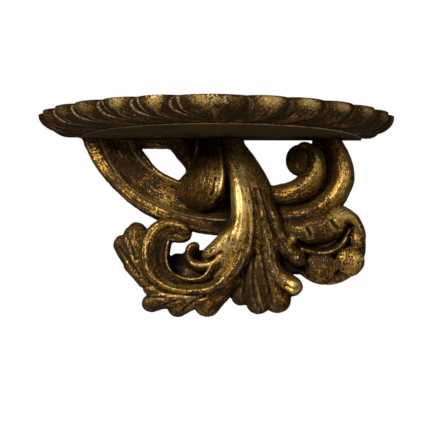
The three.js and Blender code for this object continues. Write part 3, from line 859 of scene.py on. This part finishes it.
@dataclass(frozen=True)
class GiltFinish:
    """Old leaf gilding over brown bole, toned down by dirt and near-black painted shade in the hollows, rubbed
    pale along the edges with painted highlights, and polished bright as a painted highlight where the
    patches keep the leaf. The wear is the level above which a sum of noises breaks through the leaf: a
    higher one leaves more."""

    name: str
    gold: Triple
    bright_gold: Triple
    bole: Triple
    # Near-black of the dirt and painted shade in the hollows.
    grime_and_shade: Triple
    wear: float
    # How strongly the hollows take the dirt and painted shade.
    grime_and_shade_reach: float
    # Pale gold of rubbed edges, with painted highlights along them.
    rubbed_and_highlight: Triple
    # Polished gold of kept leaf and of painted highlights.
    kept_highlight_gold: Triple
    roughness: float = 0.42
    bare_wood: Triple = (0.075, 0.044, 0.021)
    dark_grain: float = 0.45
    bump: float = 0.55
    bump_depth: float = 0.0012
    sheen_level: float = 0.1

    def material(self) -> bpy.types.Material:
        """Builds the finish: broken leaf with painted highlights and painted shade, dirt and painted shade in
        the hollows, rubbed edges with painted highlights, and bare wood over one another.

        Returns:
            The material.
        """
        recipe = Recipe(self.name)
        total, ramp, times, mix = recipe.total, recipe.ramp, recipe.times, recipe.mix
        flow = recipe.node("ShaderNodeAttribute", attribute_name="flow").outputs["Vector"]
        streaks = recipe.noise(STREAK, recipe.stretched(flow, STREAK_STRETCH))
        hollow, edge, rub_and_highlight, bare, wear_and_painted_light = map(recipe.attribute, ("hollow", "edge", "rub_and_highlight", "bare", "wear_and_painted_light"))
        cloud, blotch, speckle, dust = map(recipe.noise, (CLOUD, BLOTCH, SPECKLE, DUST))

        # The patches' wear and painted light help break the leaf through to the dark bole.
        texture = total(0.0, (0.062, wear_and_painted_light), (0.25, cloud), (0.3, blotch), (0.32, speckle), (0.2, dust),
                        (0.38, streaks), (-0.05, edge))
        worn_and_shaded = ramp(texture, self.wear - 0.035, self.wear + 0.04)
        # Dirt and painted shade: near-black in the hollows, and wherever the patches pass 2.4.
        dirt_and_shade = times(times(hollow, self.grime_and_shade_reach), ramp(dust, 0.3, 0.7, 0.8, 1.0))
        dirt_and_shade = recipe.step("MAXIMUM", dirt_and_shade, ramp(wear_and_painted_light, 2.4, 3.4))
        # Bright polished gold where the patches fall below 0: kept leaf and painted highlight.
        kept_and_highlight = times(ramp(wear_and_painted_light, -0.1, -1.1), ramp(streaks, 0.4, 0.56, 0.1, 1.0))
        # Pale lines on the edges and carved lines: rubbed leaf and painted highlights.
        pale = recipe.step("MAXIMUM", times(edge, 0.3), rub_and_highlight)
        pale = times(pale, ramp(speckle, 0.42, 0.54, 0.1, 1.0))

        tint = ramp(total(0.0, (0.5, blotch), (0.5, streaks)), 0.44, 0.57)
        leaf = mix(kept_and_highlight, mix(tint, self.gold, self.bright_gold), self.kept_highlight_gold)
        rubbed_and_highlight = mix(pale, mix(worn_and_shaded, leaf, self.bole), self.rubbed_and_highlight)
        fibres = recipe.noise(FIBRE, recipe.stretched(recipe.place, FIBRE_STRETCH))
        grain = tuple(part * self.dark_grain for part in self.bare_wood)
        wood = mix(ramp(fibres, 0.35, 0.65), self.bare_wood, grain)
        colour = mix(bare, mix(dirt_and_shade, rubbed_and_highlight, self.grime_and_shade), wood)

        metal = times(total(0.95, (-0.4, worn_and_shaded)), total(1.0, (-0.9, dirt_and_shade)))
        metal = times(metal, total(1.0, (-1.0, bare)))
        rough = total(self.roughness, (0.16, worn_and_shaded), (0.12, kept_and_highlight), (0.3, dirt_and_shade), (0.4, bare))
        height = total(0.0, (0.35, speckle), (0.8, streaks), (0.9, blotch))
        relief = {"Strength": self.bump, "Distance": self.bump_depth, "Height": height}
        surface = {
            "Base Color": colour,
            "Metallic": metal,
            "Roughness": recipe.step("MINIMUM", rough, 1.0),
            "Specular IOR Level": self.sheen_level,
            "Normal": recipe.node("ShaderNodeBump", relief).outputs["Normal"],
        }
        shader = recipe.node("ShaderNodeBsdfPrincipled", surface)
        recipe.node("ShaderNodeOutputMaterial", {"Surface": shader.outputs["BSDF"]})
        return recipe.material


# Waves of the hand-cut unevenness: length and height in millimetres, and the number of directions.
WAVES = ((40, 0.22, 6), (18, 0.13, 8), (8, 0.07, 10), (4.5, 0.04, 12))
WAVE_SEED = 7

# A carved line, in millimetres: the gap between its readings, how far off it is felt, and what is far off.
LINE_SPACING = 0.8
LINE_REACH = 12.0
FAR_OFF = 1e6


def unevenness(places: Array) -> Array:
    """Hand-cut unevenness in millimetres: a sum of sine waves of many directions and four lengths.

    Args:
        places: places in millimetres.

    Returns:
        How far each place stands out.
    """
    chance = np.random.default_rng(WAVE_SEED)
    total = np.zeros(len(places))
    for length, height, count in WAVES:
        heading = chance.normal(size=(count, 3))
        heading *= 2 * np.pi / length / np.linalg.norm(heading, axis=1, keepdims=True)
        phase = chance.uniform(0, 2 * np.pi, count)
        total += height * np.sin(places @ heading.T + phase).sum(1) / np.sqrt(count / 2)
    return total


def nearness(points: Array, cut: Cut) -> Array:
    """A bell curve of each point's distance from a carved line, both seen from the front: e to the power of
    less the square of the distance in line widths.

    Args:
        points: places in metres.
        cut: the carved line.

    Returns:
        1 on the line, and falling to 0 beside it.
    """
    knots = np.array(cut.line, float)
    places = points[:, ::2] / MM
    count = max(8, int(np.hypot(*np.diff(knots, axis=0).T).sum() / LINE_SPACING))
    line = smooth_curve(knots, np.linspace(0, len(knots) - 1, count))
    near = np.all((places > line.min(0) - LINE_REACH) & (places < line.max(0) + LINE_REACH), axis=1)
    away = np.full(len(places), FAR_OFF)
    if near.any():
        gaps = places[near][:, None] - line[None]
        away[near] = np.sqrt((gaps**2).sum(-1).min(1))
    return np.exp(-((away / cut.width) ** 2))


def box_blur(values: Array, reach: int) -> Array:
    """Mean over a square of cells, from running sums along both axes.

    Args:
        values: a grid of values.
        reach: cells to either side.

    Returns:
        The blurred grid.
    """
    for axis in (0, 1):
        pad = [(reach + 1, reach) if k == axis else (0, 0) for k in (0, 1)]
        total = np.cumsum(np.pad(values, pad), axis=axis)
        size = values.shape[axis]
        high = np.take(total, np.arange(size) + 2 * reach + 1, axis=axis)
        values = (high - np.take(total, np.arange(size), axis=axis)) / (2 * reach + 1)
    return values


def shadowed(
    points: Array, cell: float = MM, margin: float = 0.02, reaches: tuple[int, ...] = (5, 12)
) -> Array:
    """How far each point lies behind the mean front of the carving round it: the foremost points on a grid
    seen from the front, blurred twice over each reach.

    Args:
        points: places in metres.
        cell: the grid's cell in metres.
        margin: the grid's margin in metres.
        reaches: cells of blur.

    Returns:
        A share from 0 to 1 for each reach, added up.
    """
    low = points[:, ::2].min(0) - margin
    cells = np.ceil((points[:, ::2].max(0) + margin - low) / cell).astype(int)
    spot = ((points[:, ::2] - low) / cell).astype(int)
    depth = np.zeros(cells)
    np.maximum.at(depth, (spot[:, 0], spot[:, 1]), -points[:, 1])
    sunk = np.zeros(len(points))
    for reach in reaches:
        wide = box_blur(box_blur(depth, reach), reach)
        sunk += np.clip((wide[spot[:, 0], spot[:, 1]] + points[:, 1]) / (reach * 0.9 * MM), 0, 1)
    return sunk


@dataclass
class CarvedSupport:
    """The pierced support, carved from one block: strokes, fingers and bosses joined into one skin. Its top
    and the grid of the skin are in millimetres."""

    top: float = -10.8
    grid: float = 0.95
    softening: float = 0.45
    most_triangles: int = 190_000
    strokes: tuple[Stroke, ...] = STROKES
    bosses: tuple[Boss, ...] = BOSSES
    cuts: tuple[Cut, ...] = CUTS
    patches: tuple[Patch, ...] = PATCHES
    node: str = "carved_support"
    slot: str = "gilt_carving"

    def build(self, finish: GiltFinish) -> bpy.types.Object:
        """Blocks out, joins, cuts, thins and dresses the carving.

        Args:
            finish: its gilding.

        Returns:
            The finished piece.
        """
        source = self.block_out()
        piece = self.join(source)
        self.cut(piece)
        self.thin(piece)
        self.take_flow(piece, source)
        bpy.data.objects.remove(source)
        self.dress(piece.data, finish)
        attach(piece, "root")
        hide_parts(self.node)
        return piece

    def block_out(self) -> bpy.types.Object:
        """Makes every stroke and boss, cut flat under the shelf, as one object of overlapping closed shapes.

        Returns:
            The blocked-out carving.
        """
        merged = bmesh.new()
        merged.verts.layers.float_color.new("flow")
        level = Vector((0, 0, self.top * MM))
        for shape in (*self.strokes, *self.bosses):
            thing = Library.mesh_object(shape.name, shape.surface())
            part = bmesh.new()
            part.from_mesh(thing.data)
            every = part.verts[:] + part.edges[:] + part.faces[:]
            cut = bmesh.ops.bisect_plane(
                part, geom=every, plane_co=level, plane_no=(0, 0, 1), clear_outer=True)
            rim = [e for e in cut["geom_cut"] if isinstance(e, bmesh.types.BMEdge)]
            if rim:
                bmesh.ops.holes_fill(part, edges=rim, sides=0)
            bmesh.ops.recalc_face_normals(part, faces=part.faces[:])
            part.to_mesh(thing.data)
            part.free()
            merged.from_mesh(thing.data)
            bpy.data.objects.remove(thing)
        mesh = bpy.data.meshes.new("carving_source")
        merged.to_mesh(mesh)
        merged.free()
        log.info("support blocked out: %d points", len(mesh.vertices))
        return Library.add("carving_source", mesh)

    def join(self, source: bpy.types.Object) -> bpy.types.Object:
        """Wraps the overlapping shapes in one closed skin of small even faces.

        Args:
            source: the blocked-out carving.

        Returns:
            The joined carving.
        """
        piece = Library.add("giltwood_support", source.data.copy())
        remesh = piece.modifiers.new("one_skin", "REMESH")
        remesh.mode = "VOXEL"
        remesh.voxel_size = self.grid * MM
        Library.bake(piece)
        log.info("support joined: %d faces", len(piece.data.polygons))
        return piece

    def cut(self, piece: bpy.types.Object) -> None:
        """Softens the skin a little and cuts the carved lines: each point near a line sinks by the line's
        depth times a bell curve of its distance from it.

        Args:
            piece: the joined carving.
        """
        mesh = piece.data
        joined = Skin.of(mesh)
        points = Library.relax(joined.points, joined.links, 2, self.softening)
        Library.move(mesh, points)
        normals = Library.vectors(mesh.vertex_normals, "vector")
        facing = smoothstep(0.15, 0.5, -normals[:, 1])
        shift = np.zeros(len(points))
        for line in self.cuts:
            shift -= line.depth * nearness(points, line) * facing
        shift += unevenness(points / MM)
        points = points + normals * shift[:, None] * MM
        points[:, 1] = np.minimum(points[:, 1], 0)
        points[:, 2] = np.minimum(points[:, 2], self.top * MM)
        Library.move(mesh, points)

    def thin(self, piece: bpy.types.Object) -> None:
        """Takes faces away where the skin is flat, down to the most that are allowed.

        Args:
            piece: the cut carving.
        """
        decimate = piece.modifiers.new("thin", "DECIMATE")
        decimate.ratio = min(1.0, self.most_triangles / (2 * len(piece.data.polygons)))
        Library.bake(piece)
        log.info("support thinned: %d faces", len(piece.data.polygons))

    def take_flow(self, piece: bpy.types.Object, source: bpy.types.Object) -> None:
        """Copies the distance along and across the nearest stroke onto the skin.

        Args:
            piece: the thinned carving.
            source: the blocked-out carving.
        """
        for old in list(piece.data.color_attributes):
            piece.data.color_attributes.remove(old)
        piece.data.color_attributes.new("flow", "FLOAT_COLOR", "POINT")
        transfer = piece.modifiers.new("flow", "DATA_TRANSFER")
        transfer.object = source
        transfer.use_vert_data = True
        transfer.data_types_verts = {"COLOR_VERTEX"}
        transfer.vert_mapping = "POLYINTERP_NEAREST"
        Library.bake(piece)

    def dress(self, mesh: bpy.types.Mesh, finish: GiltFinish) -> None:
        """Marks where dirt and painted shade gather in the hollows and behind the carving's front, where edges
        are rubbed pale with painted highlights, where patches of wear, painted shade and painted highlights
        lie, and where the wood is bare, sets the back against the wall, and gilds the carving.

        Args:
            mesh: the carving's mesh.
            finish: its gilding.
        """
        skin = Skin.of(mesh)
        points, towards_wall = skin.points, skin.normals[:, 1]
        # Dirt and painted shade: deeper the further a point sinks below its surroundings and lies behind the
        # carving's front.
        small, large = skin.sinking(8, 40)
        hollow = 0.5 * np.clip(small / 0.35, 0, 1) + 0.45 * np.clip(large / 1.4, 0, 1)
        Library.store(mesh, "hollow", np.clip(hollow + 0.45 * shadowed(points), 0, 1))
        Library.store(mesh, "edge", skin.sharpness())
        Library.store(mesh, "bare", smoothstep(0.6, 0.9, towards_wall))
        # Pale lines along the carved lines where they face the front: rubbed leaf and painted highlights.
        rub_and_highlight = np.zeros(len(points))
        for line in self.cuts:
            rub_and_highlight = np.maximum(rub_and_highlight, line.rub_and_highlight * nearness(points, line))
        Library.store(mesh, "rub_and_highlight", rub_and_highlight * smoothstep(0.2, 0.5, -towards_wall))
        # Patches of wear, painted shade and painted highlights, summed at each point.
        wear_and_painted_light = np.zeros(len(points))
        for patch in self.patches:
            way = (points[:, ::2] / MM - np.array(patch.at)) / np.array(patch.reach)
            wear_and_painted_light += patch.amount * np.exp(-(way**2).sum(1))
        Library.store(mesh, "wear_and_painted_light", wear_and_painted_light)
        points[:, 1] = np.minimum(points[:, 1], 0)
        Library.move(mesh, points)
        mesh.materials.clear()
        mesh.materials.append(finish.material())
        mesh.shade_smooth()


@dataclass
class Shelf:
    """The half-oval shelf with its gadrooned edge, worked from one board.

    Sizes are in millimetres, and angles in degrees round the oval from its front. A place down the edge is a
    share, 0 at its top and 1 at its foot.
    """

    half_width: float = 178.3
    depth: float = 159.8
    thickness: float = 21.0
    foot_half_width: float = 140.0
    foot_depth: float = 116.0
    foot_shift: float = 5.0
    lip: float = 1.4
    lip_out: float = 0.6
    lip_inset: float = 0.1
    lobe_middle: float = 1.4
    lobe_half: float = 10.3
    lobe_pitch: float = 12.8
    lobe_power: float = 2.5
    bow: float = 1.5
    bow_end: float = 0.8
    sweep: float = 12.0
    sweep_start: float = 0.5
    hollow: float = 5.6
    hollow_fade: float = 0.9
    hollow_power: float = 2.2
    dart_half: float = 1.45
    dart_end: float = 0.92
    dart_power: float = 0.8
    dart_right: float = 0.2
    fillet: float = 0.9
    fillet_half: float = 0.38
    spine: float = 0.55
    # Where the lobes keep their leaf under a painted highlight: its share down the edge, its half width, and
    # the angle round the oval that it favours.
    kept_highlight_at: float = 0.16
    kept_highlight_half: float = 0.17
    kept_highlight_angle: float = 16.0
    edge_rows: int = 64
    lip_rows: int = 9
    flat_rows: int = 8
    rim_row: float = 0.992
    columns: int = 1150
    node: str = "shelf"
    slot: str = "gilt_shelf"

    def build(self, finish: GiltFinish) -> bpy.types.Object:
        """Models and dresses the shelf.

        Args:
            finish: its gilding.

        Returns:
            The finished piece.
        """
        piece = Library.mesh_object("giltwood_shelf", self.surface())
        edit = bmesh.new()
        edit.from_mesh(piece.data)
        bmesh.ops.remove_doubles(edit, verts=edit.verts, dist=1e-6)
        bmesh.ops.recalc_face_normals(edit, faces=edit.faces[:])
        edit.to_mesh(piece.data)
        edit.free()
        self.dress(piece.data, finish)
        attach(piece, "root")
        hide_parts(self.node)
        return piece

    def dress(self, mesh: bpy.types.Mesh, finish: GiltFinish) -> None:
        """Marks the dirt and painted shade between the lobes, the rubbed fillets and lip with their painted
        highlights, the wear, painted shade and painted highlights of the lobes, and the bare back and
        underside, and gilds the shelf.

        Args:
            mesh: the shelf's mesh.
            finish: its gilding.
        """
        skin = Skin.of(mesh)
        level = skin.points[:, 2] / MM
        upward = skin.normals[:, 2]
        rgba = np.empty(len(level) * 4, np.float32)
        mesh.color_attributes["flow"].data.foreach_get("color", rgba)
        rub_and_highlight, wear_and_painted_light = rgba.reshape(-1, 4)[:, 2:].T
        # Dirt and painted shade, deeper the further a point sinks between the lobes.
        small, large = skin.sinking(10, 30)
        dirt_and_shade = np.clip(0.8 * small / 0.3 + 0.5 * large / 0.8, 0, 1)
        on_edge = smoothstep(self.thickness / 2, self.thickness / 2 - 0.4, level)
        at_lip = np.exp(-(((level + (self.thickness - self.lip) / 2) / (0.5 * self.lip)) ** 4))
        flat_under = smoothstep(-0.95, -0.99, upward) * (level < 0.6 * self.lip - self.thickness / 2)
        at_wall = smoothstep(-0.02, 0.0, skin.points[:, 1] / MM)
        Library.store(mesh, "hollow", dirt_and_shade * on_edge)
        Library.store(mesh, "edge", skin.sharpness() * smoothstep(9.8, 8.6, level))
        Library.store(mesh, "bare", np.maximum(at_wall, 0.8 * flat_under))
        # The pale line of the lip where it faces down: rubbed leaf and a painted highlight along its arris.
        Library.store(mesh, "rub_and_highlight", np.maximum(rub_and_highlight, 0.9 * at_lip * smoothstep(-0.95, -0.6, upward)))
        Library.store(mesh, "wear_and_painted_light", wear_and_painted_light)
        mesh.materials.append(finish.material())
        mesh.shade_smooth()

    def gadroons(self, angle: Array, down: Array) -> tuple[Array, Array, Array]:
        """How deep the edge is cut in. The hollows between the lobes start square to the rim, bow outward a
        little and then sweep in towards the middle lobe, faster and faster, as they go down. A lobe's face is
        1 less a power of its share of the way to the hollow. Each hollow holds a lens-shaped dart between two
        thin fillets, narrow on the right-hand side, and a thin fillet, the spine, runs down the lower half of
        each lobe. The fillets are rubbed pale, with a painted highlight that is stronger on the left, lit
        side.
        The lobes keep most of their leaf near the top of the edge, under a painted highlight that is strongest
        where they face a little right of the front, and the hollows and the foot have lost it, the hollows
        with painted shade.

        Args:
            angle: angles round the oval, as a row.
            down: shares of the way down the edge, as a column.

        Returns:
            The depth of cut, how pale it is rubbed with painted highlights, and how much more it is worn, with
            painted shade and highlights, for each row and column.
        """
        side = np.tanh((angle - self.lobe_middle) / 4)
        left = 0.5 - 0.5 * side
        swept = np.clip(down - self.sweep_start, 0, 1) / (1 - self.sweep_start)
        drift = self.sweep * swept**2 - self.bow * np.sin(np.pi * np.clip(down / self.bow_end, 0, 1))
        off = np.abs(angle + side * drift - self.lobe_middle)
        turn = np.maximum(off - self.lobe_half, 0) % self.lobe_pitch
        within = off < self.lobe_half
        gap = np.where(within, self.lobe_half - off, np.minimum(turn, self.lobe_pitch - turn))
        reach = np.where(within, self.lobe_half, self.lobe_pitch / 2)
        lens = np.sin(np.pi * np.clip(down / self.dart_end, 0, 1)) ** self.dart_power
        dart = self.dart_half * lens * (self.dart_right + (1 - self.dart_right) * left)
        outside = np.clip((gap - dart) / (reach - dart), 0, 1)

        fade = 1 - self.hollow_fade * down**self.hollow_power
        cut = self.hollow * fade * (1 - outside) ** self.lobe_power
        fillet = np.exp(-(((gap - dart) / self.fillet_half) ** 2)) * smoothstep(0.04, 0.2, down)
        cut -= self.fillet * fillet * (0.45 + 0.55 * left) * (1 - 0.6 * down)
        spine = np.exp(-(((reach - gap) / self.fillet_half) ** 2)) * smoothstep(0.34, 0.5, down)
        cut -= self.spine * self.fillet * spine * (1 - 0.7 * down) * (0.5 + 0.5 * left)

        # Painted highlight on the fillets and spines: stronger on the left, lit side, and gone at the far
        # left.
        lit = (0.3 + 0.7 * left) * smoothstep(-80, -58, angle)
        pale_fillet = fillet * (1 - 0.75 * smoothstep(0.55, 0.85, down))
        rub_and_highlight = (pale_fillet + 0.6 * spine * smoothstep(0.9, 0.6, down)) * lit
        # Painted highlight near the top of each lobe, strongest round the angle it favours, and painted shade
        # in the hollows, over the lobes' own wear.
        kept_and_highlight = np.exp(-(((down - self.kept_highlight_at) / self.kept_highlight_half) ** 2)) * np.clip(1.5 * outside, 0, 1)
        facing = 0.4 + 0.6 * np.cos(np.radians(angle - self.kept_highlight_angle))
        worn_and_shaded = 0.6 - 1.7 * kept_and_highlight * facing + 1.2 * (1 - outside) ** 2
        return cut, rub_and_highlight, worn_and_shaded + 0.5 * smoothstep(0.06, 0.0, down)

    def oval(self, angle: Array, inward: Array, out: Array, level: Array) -> Array:
        """Points of an ellipse between the rim's and the foot's.

        Args:
            angle: angles round the oval, as a row.
            inward: shares of the way in from the rim to the foot, as a column.
            out: how far the points are set out, as a column.
            level: their levels, as a column.

        Returns:
            The points, as [row, column, xyz].
        """
        radians = np.radians(angle)
        across = self.half_width + (self.foot_half_width - self.half_width) * inward + out
        deep = self.depth + (self.foot_depth - self.depth) * inward + out
        x = self.foot_shift * inward + across * np.sin(radians)
        return np.stack([x, -deep * np.cos(radians), level + 0 * radians], -1)

    def surface(self) -> Surface:
        """Rows run from the middle of the back edge out over the top, round the edge, over the thin lip at
        its foot and in under the board; columns run round the oval from the left of the wall to the right.
        The edge is a quarter ellipse that is cut in square to its face, and the back is one flat face.

        Returns:
            The board's closed surface.
        """
        angle = np.linspace(-90, 90, self.columns)[None]
        half = self.thickness / 2
        down = np.linspace(0, 1, self.edge_rows)[:, None]
        inward = 1 - np.cos(down * np.pi / 2)
        level = half - (self.thickness - self.lip) * np.sin(down * np.pi / 2)
        edge = self.oval(angle, inward, 0 * down, level)
        outward = np.cross(np.gradient(edge, axis=1), np.gradient(edge, axis=0))
        outward /= np.linalg.norm(outward, axis=-1, keepdims=True)
        cut, rub_and_highlight, worn_and_shaded = self.gadroons(angle, down)
        edge -= outward * np.sign(outward[:1, :, 1:2] * edge[:1, :, 1:2]) * cut[..., None]
        roll = np.radians(np.linspace(80, -90, self.lip_rows)[:, None])
        level = (self.lip - self.thickness) / 2 + self.lip / 2 * np.sin(roll)
        lip = self.oval(angle, 1 + 0 * roll, self.lip_out * np.cos(roll) - self.lip_inset, level)
        share = np.append(np.linspace(0, 1, self.flat_rows)[:-1], self.rim_row)[:, None, None]
        top = edge[:1] * np.array([1, 1, 0]) * share + np.array([0, 0, half])
        under = lip[-1:] * np.array([1, 1, 0]) * share[::-1] + np.array([0, 0, -half])
        grid = np.concatenate([top, edge, lip, under])
        grid[..., 1] = np.minimum(grid[..., 1], 0)
        grid[..., 2] = np.clip(grid[..., 2], -half, half)
        grid[:, [0, -1], 1] = 0

        rows, columns = grid.shape[:2]
        first, last = len(top), len(top) + len(edge)
        marks = np.zeros((rows, columns, 2))
        marks[:first, :, 1] = 0.8
        marks[first:last] = np.stack([rub_and_highlight, worn_and_shaded], -1)
        marks[last:, :, 1] = 0.5
        along = np.tile(np.radians(angle) * 150, (rows, 1))
        lean = np.sign(along) * np.maximum(half - grid[..., 2], 0)
        flow = np.stack([grid[..., 2] * 2, along + lean], -1)
        flow[:first] = grid[:first, :, :2]

        here = np.arange(rows - 1)[:, None] * columns + np.arange(columns - 1)[None]
        quads = np.stack([here, here + 1, here + 1 + columns, here + columns], -1).reshape(-1, 4)
        left = (np.arange(rows) * columns).tolist()
        right = (np.arange(rows) * columns + columns - 1).tolist()
        back = left[1:-1] + [left[-1]] + right[1:-1][::-1] + [left[0]]
        faces = quads.tolist() + [back]
        return Surface(grid.reshape(-1, 3), faces, flow.reshape(-1, 2), marks.reshape(-1, 2))


@dataclass(frozen=True)
class Lamp:
    """A square soft lamp: where it hangs and its side in metres, and its power in watts."""

    name: str
    place: Triple
    side: float
    power: float

    def hang(self, aim: Triple) -> None:
        """Adds the lamp to the scene.

        Args:
            aim: where it looks, metres.
        """
        data = bpy.data.lights.new(self.name, "AREA")
        data.size = self.side
        data.energy = self.power
        lamp = Library.add(self.name, data)
        look = (Vector(aim) - Vector(self.place)).to_track_quat("-Z", "Y").to_matrix().to_4x4()
        lamp.matrix_world = Matrix.Translation(self.place) @ look


@dataclass
class Studio:
    """Camera, soft lights and pale floor. The camera stands where the photograph's stood."""

    eye: Triple = (0.07294, -1.3778, -0.19188)
    yaw: float = 3.004
    pitch: float = 4.358
    roll: float = 0.509
    picture: int = 432
    focal_pixels: float = 1380.98
    sensor: float = 36.0
    nearest: float = 0.01
    aim: Triple = (0.0, -0.03, -0.09)
    lamps: tuple[Lamp, ...] = (
        Lamp("key", (-0.7, -1.45, 0.6), 0.6, 42.0),
        Lamp("fill", (1.3, -1.0, 0.1), 0.9, 6.0),
    )
    white: Triple = (1.0, 1.0, 1.0)
    warm_white: Triple = (1.0, 0.99, 0.97)
    even_light: float = 0.045
    floor_level: float = -0.95
    floor_radius: float = 1.2
    floor_sides: int = 96
    floor_grey: Triple = (0.82, 0.82, 0.81)
    floor_roughness: float = 0.9

    def build(self) -> None:
        """Makes the camera, the floor, the lamps and the white surroundings."""
        self.camera()
        self.floor()
        for lamp in self.lamps:
            lamp.hang(self.aim)
        self.surroundings()
        view = bpy.context.scene.view_settings
        view.view_transform = "Standard"
        view.look = "None"

    def camera(self) -> None:
        """Turns the camera left by the yaw, up by the pitch and about its own axis by the roll."""
        yaw, pitch, roll = np.radians([self.yaw, self.pitch, self.roll])
        ahead = np.array([-np.sin(yaw) * np.cos(pitch), np.cos(yaw) * np.cos(pitch), np.sin(pitch)])
        level = np.array([np.cos(yaw), np.sin(yaw), 0.0])
        upright = np.cross(level, ahead)
        right = level * np.cos(roll) + upright * np.sin(roll)
        up = upright * np.cos(roll) - level * np.sin(roll)
        data = bpy.data.cameras.new("camera")
        data.sensor_width = self.sensor
        data.sensor_fit = "HORIZONTAL"
        data.lens = self.sensor * self.focal_pixels / self.picture
        data.clip_start = self.nearest
        camera = Library.add("camera", data)
        pose = np.eye(4)
        pose[:3, :3] = np.stack([right, up, -ahead], -1)
        pose[:3, 3] = self.eye
        camera.matrix_world = Matrix(pose.tolist())
        bpy.context.scene.camera = camera

    def floor(self) -> None:
        """A plain pale disc below the bracket."""
        turn = np.linspace(0, 2 * np.pi, self.floor_sides, endpoint=False)
        points = np.stack([np.cos(turn), np.sin(turn), 0 * turn], -1) * self.floor_radius
        mesh = bpy.data.meshes.new("floor")
        mesh.from_pydata((points + [0, 0, self.floor_level]).tolist(), [], [list(range(len(turn)))])
        material = bpy.data.materials.new("pale_floor")
        material.use_nodes = True
        shader = material.node_tree.nodes["Principled BSDF"]
        shader.inputs["Base Color"].default_value = (*self.floor_grey, 1.0)
        shader.inputs["Roughness"].default_value = self.floor_roughness
        mesh.materials.append(material)
        floor = Library.add("floor", mesh)

    def surroundings(self) -> None:
        """A white ground behind everything, and a dimmer even light from all round."""
        world = bpy.data.worlds.new("studio")
        world.use_nodes = True
        tree = world.node_tree
        tree.nodes.clear()
        path = tree.nodes.new("ShaderNodeLightPath")
        seen = tree.nodes.new("ShaderNodeBackground")
        seen.inputs["Color"].default_value = (*self.white, 1.0)
        lit = tree.nodes.new("ShaderNodeBackground")
        lit.inputs["Color"].default_value = (*self.warm_white, 1.0)
        lit.inputs["Strength"].default_value = self.even_light
        blend = tree.nodes.new("ShaderNodeMixShader")
        out = tree.nodes.new("ShaderNodeOutputWorld")
        tree.links.new(path.outputs["Is Camera Ray"], blend.inputs[0])
        tree.links.new(lit.outputs[0], blend.inputs[1])
        tree.links.new(seen.outputs[0], blend.inputs[2])
        tree.links.new(blend.outputs[0], out.inputs["Surface"])
        bpy.context.scene.world = world


CARVING_GILT = GiltFinish(
    "carving_gilt", gold=(0.34, 0.17, 0.026), bright_gold=(0.76, 0.49, 0.13), bole=(0.040, 0.019, 0.0045),
    grime_and_shade=(0.005, 0.003, 0.0012), wear=0.714, grime_and_shade_reach=1.1, rubbed_and_highlight=(0.60, 0.41, 0.17),
    kept_highlight_gold=(0.88, 0.64, 0.26))
SHELF_GILT = GiltFinish(
    "shelf_gilt", gold=(0.32, 0.165, 0.034), bright_gold=(0.70, 0.44, 0.13), bole=(0.036, 0.0165, 0.005),
    grime_and_shade=(0.006, 0.0035, 0.0014), wear=0.705, grime_and_shade_reach=1.2, rubbed_and_highlight=(0.66, 0.45, 0.19),
    kept_highlight_gold=(0.95, 0.66, 0.24), bare_wood=(0.085, 0.047, 0.020))


def main() -> None:
    """Builds the studio, the shelf and the support, and reports each piece."""
    logging.basicConfig(level=logging.INFO, format="%(message)s")
    Studio().build()
    for piece in (Shelf().build(SHELF_GILT), CarvedSupport().build(CARVING_GILT)):
        log.info("%s: %d faces", piece.name, len(piece.data.polygons))


if __name__ == "__main__":
    main()
